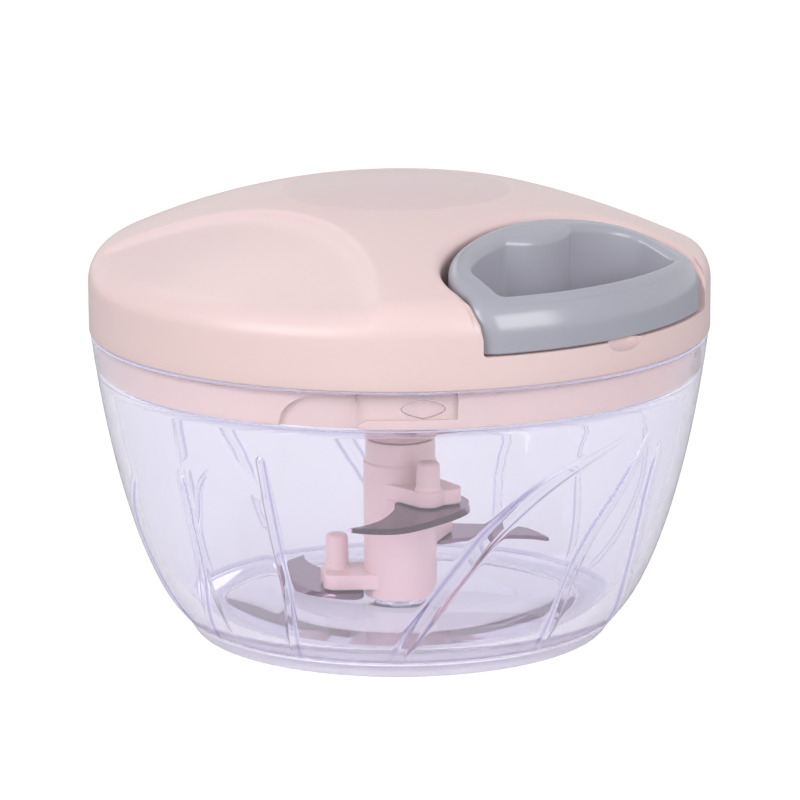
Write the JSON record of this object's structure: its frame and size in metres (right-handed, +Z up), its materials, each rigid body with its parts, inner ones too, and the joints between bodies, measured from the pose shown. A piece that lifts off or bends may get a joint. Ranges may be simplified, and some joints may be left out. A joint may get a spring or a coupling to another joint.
{
  "type": "garlic chopper",
  "caption": "Pull-cord garlic chopper: a clear flared bowl with a blade unit on a pin, under a domed bayonet lid that holds a cord spool and a pull-out finger handle.",
  "frame": {"origin": "under the middle of the foot, on the surface that the chopper stands on", "axes": "+Z up along the blade shaft, +X the way the handle is pulled out, +Y to its left"},
  "size_m": [0.1244, 0.1244, 0.091],
  "materials": {
    "clear_plastic": "clear, glossy, faint lavender tint in the edges",
    "foot_plastic": "translucent soft ring, satin",
    "pin_steel": "bright turned steel",
    "spring_steel": "blued spring strip",
    "lid_plastic": "satin moulded pink",
    "handle_plastic": "satin moulded grey",
    "acetal": "plain natural acetal",
    "cord": "braided nylon cord",
    "blade_steel": "stamped stainless strip"
  },
  "bodies": {
    "bowl_unit": {"bowl": "clear_plastic", "foot_ring": "foot_plastic", "centre_pin": "pin_steel"},
    "lid_unit": {"lid_shell": "lid_plastic", "lid_base": "lid_plastic", "lid_screw_1": "pin_steel", "lid_screw_2": "pin_steel", "lid_screw_3": "pin_steel", "lid_screw_4": "pin_steel", "cover_screw_1": "pin_steel", "cover_screw_2": "pin_steel", "cover_screw_3": "pin_steel", "spool_axle": "pin_steel", "return_spring": "spring_steel", "spring_cover": "acetal", "cord_eyelet": "acetal"},
    "handle_unit": {"pull_handle": "handle_plastic", "cord_lead": "cord", "cord_knot": "cord"},
    "spool_unit": {"cord_spool": "acetal", "cord_winding": "cord"},
    "pawl_unit_1": {"pawl_1": "acetal"},
    "pawl_unit_2": {"pawl_2": "acetal"},
    "pawl_unit_3": {"pawl_3": "acetal"},
    "blade_unit": {"drive_hub": "lid_plastic", "blade_shaft": "lid_plastic", "upper_blade": "blade_steel", "middle_blade": "blade_steel", "lower_blade": "blade_steel"}
  },
  "joints": [
    {"name": "lid_turn", "type": "hinge", "parent": "bowl_unit", "child": "lid_unit", "pos_m": [0, 0, 0.0617], "axis": [0, 0, 1], "range_deg": [0, 18]},
    {"name": "handle_pull", "type": "slide", "parent": "lid_unit", "child": "handle_unit", "axis": [1, 0, 0], "range_m": [0, 0.3], "stiffness_N_per_m": 12, "springref_m": -0.1, "deforming": ["cord_lead"]},
    {"name": "spool_turn", "type": "hinge", "parent": "lid_unit", "child": "spool_unit", "pos_m": [0, 0, 0.0706], "axis": [0, 0, 1], "range_deg": [0, 1320], "deforming": ["return_spring"]},
    {"name": "blade_spin", "type": "hinge", "parent": "lid_unit", "child": "blade_unit", "pos_m": [0, 0, 0.04], "axis": [0, 0, 1], "range_deg": [0, 1320]},
    {"name": "pawl_swing_1", "type": "hinge", "parent": "spool_unit", "child": "pawl_unit_1", "pos_m": [0.0117, 0, 0.0617], "axis": [0, 0, 1], "range_deg": [0, 15], "stiffness_Nm_per_rad": 0.0005, "springref_deg": -5.73},
    {"name": "pawl_swing_2", "type": "hinge", "parent": "spool_unit", "child": "pawl_unit_2", "pos_m": [-0.00585, 0.01013, 0.0617], "axis": [0, 0, 1], "range_deg": [0, 15], "stiffness_Nm_per_rad": 0.0005, "springref_deg": -5.73},
    {"name": "pawl_swing_3", "type": "hinge", "parent": "spool_unit", "child": "pawl_unit_3", "pos_m": [-0.00585, -0.01013, 0.0617], "axis": [0, 0, 1], "range_deg": [0, 15], "stiffness_Nm_per_rad": 0.0005, "springref_deg": -5.73}
  ],
  "couplings": [
    {"joint": "spool_turn", "follows": "handle_pull", "rad_per_m": 76.628},
    {"joint": "blade_spin", "follows": "handle_pull", "rad_per_m": 76.628},
    {"joint": "pawl_swing_2", "follows": "pawl_swing_1", "ratio": 1},
    {"joint": "pawl_swing_3", "follows": "pawl_swing_1", "ratio": 1}
  ]
}
